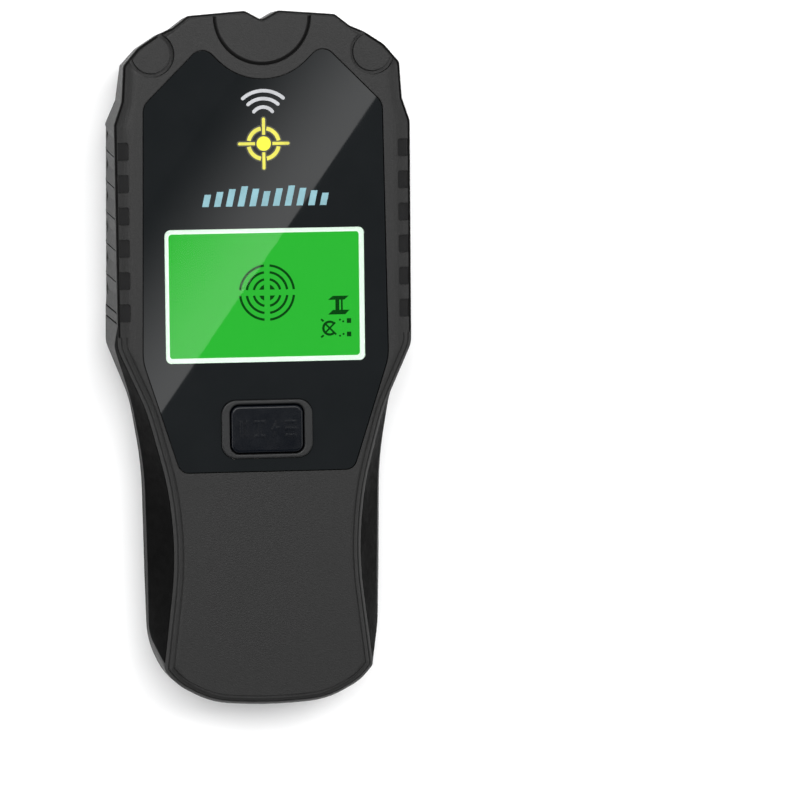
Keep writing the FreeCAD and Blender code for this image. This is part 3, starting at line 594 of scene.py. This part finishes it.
def display_marks():
    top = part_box("lcd_cell")[1].z
    ink = glow("segment_ink", (0.0, 0.055, 0.003), 1.0, (0.0, 0.002, 0.0), (0.0, 0.003, 0.0))
    solid_shapes("target_segments", target_shapes(), top, ink)
    solid_shapes("beam_segments", [shifted(part, *BEAM) for part in beam_shapes()], top, ink)
    solid_shapes("wire_segments", [shifted(part, *WIRE) for part in wire_shapes()], top, ink)


# ---------------------------------------------------------------- painted shade in the edge pockets: dark sheets on their floors, in millimetres

# the pockets beside each straight side of the head
SHADE_PAD_COUNT = 6
SHADE_PAD_TOP_Y = 47.6
SHADE_PAD_PITCH = 7.38
SHADE_PAD_HALF_H = 1.9
SHADE_PAD_X = (31.25, 33.55)
SHADE_PAD_T = 0.08
# columns and rows of a shade sheet's grid
SHADE_PAD_GRID = (6, 8)
# the shell's edge is where it drops by more than EDGE_DROP within EDGE_STEP
EDGE_STEP = 0.1
EDGE_DROP = 0.25
ABOVE_SHELL = 100.0


def shell_z(tree, x, y):
    """Height in metres of the front shell's outer surface at a place in millimetres."""
    hit = tree.ray_cast(Vector((x, y, ABOVE_SHELL)) * MM, Vector((0.0, 0.0, -1.0)))[0]
    return hit.z if hit else 0.0


def outer_x(tree, side, y):
    """How far out a shade sheet can go at one height of the head, one step inside the shell's edge."""
    x = SHADE_PAD_X[0]
    while x + EDGE_STEP <= SHADE_PAD_X[1]:
        if shell_z(tree, side * x, y) - shell_z(tree, side * (x + EDGE_STEP), y) > EDGE_DROP * MM:
            break
        x += EDGE_STEP
    return x - EDGE_STEP


def shade_pad_points(tree, side, middle_y):
    """Grid that follows the shell: at each place a point above its surface and one below."""
    across, along = SHADE_PAD_GRID
    points = []
    for j in range(along):
        y = middle_y - SHADE_PAD_HALF_H + 2 * SHADE_PAD_HALF_H * j / (along - 1)
        width = outer_x(tree, side, y) - SHADE_PAD_X[0]
        for i in range(across):
            x = side * (SHADE_PAD_X[0] + width * i / (across - 1))
            z = shell_z(tree, x, y)
            points.append((x * MM, y * MM, z + SHADE_PAD_T * MM))
            points.append((x * MM, y * MM, z - SHADE_PAD_T * MM))
    return points


def shade_pad_faces(start, side):
    """Closed skin of one grid, whose points begin at start."""
    across, along = SHADE_PAD_GRID
    last_i, last_j = across - 1, along - 1
    quads = []
    for j in range(last_j):
        for i in range(last_i):
            quads.append([(i, j, 0), (i + 1, j, 0), (i + 1, j + 1, 0), (i, j + 1, 0)])
            quads.append([(i, j + 1, 1), (i + 1, j + 1, 1), (i + 1, j, 1), (i, j, 1)])
    for i in range(last_i):
        quads.append([(i, 0, 1), (i + 1, 0, 1), (i + 1, 0, 0), (i, 0, 0)])
        quads.append([(i, last_j, 0), (i + 1, last_j, 0), (i + 1, last_j, 1), (i, last_j, 1)])
    for j in range(last_j):
        quads.append([(0, j, 0), (0, j + 1, 0), (0, j + 1, 1), (0, j, 1)])
        quads.append([(last_i, j, 1), (last_i, j + 1, 1), (last_i, j + 1, 0), (last_i, j, 0)])
    faces = [tuple(start + 2 * (j * across + i) + layer for i, j, layer in quad) for quad in quads]
    return faces if side > 0 else [face[::-1] for face in faces]


def pocket_shade_pads():
    """Painted shade: thin dark sheets on the floors of the edge pockets, darker than the shell, standing in
    for the shade in those recesses.
    """
    shell = NODES["front_housing"].data
    tree = BVHTree.FromPolygons([v.co for v in shell.vertices], [p.vertices for p in shell.polygons])
    points, faces = [], []
    for side in (1, -1):
        for i in range(SHADE_PAD_COUNT):
            faces += shade_pad_faces(len(points), side)
            points += shade_pad_points(tree, side, SHADE_PAD_TOP_Y - i * SHADE_PAD_PITCH)
    # painted shade: a colour darker than the housing, laid where the pockets are only in shade
    shade_mat = plain("painted_pocket_shade", (0.0042, 0.0042, 0.0044), 0.62, shine=0.15)
    add_piece("pocket_shade_pads", points, faces, shade_mat)


# ---------------------------------------------------------------- build

camera = make_camera()
make_studio(camera)
dress_frame()
pocket_shade_pads()
lens_marks()
display_marks()
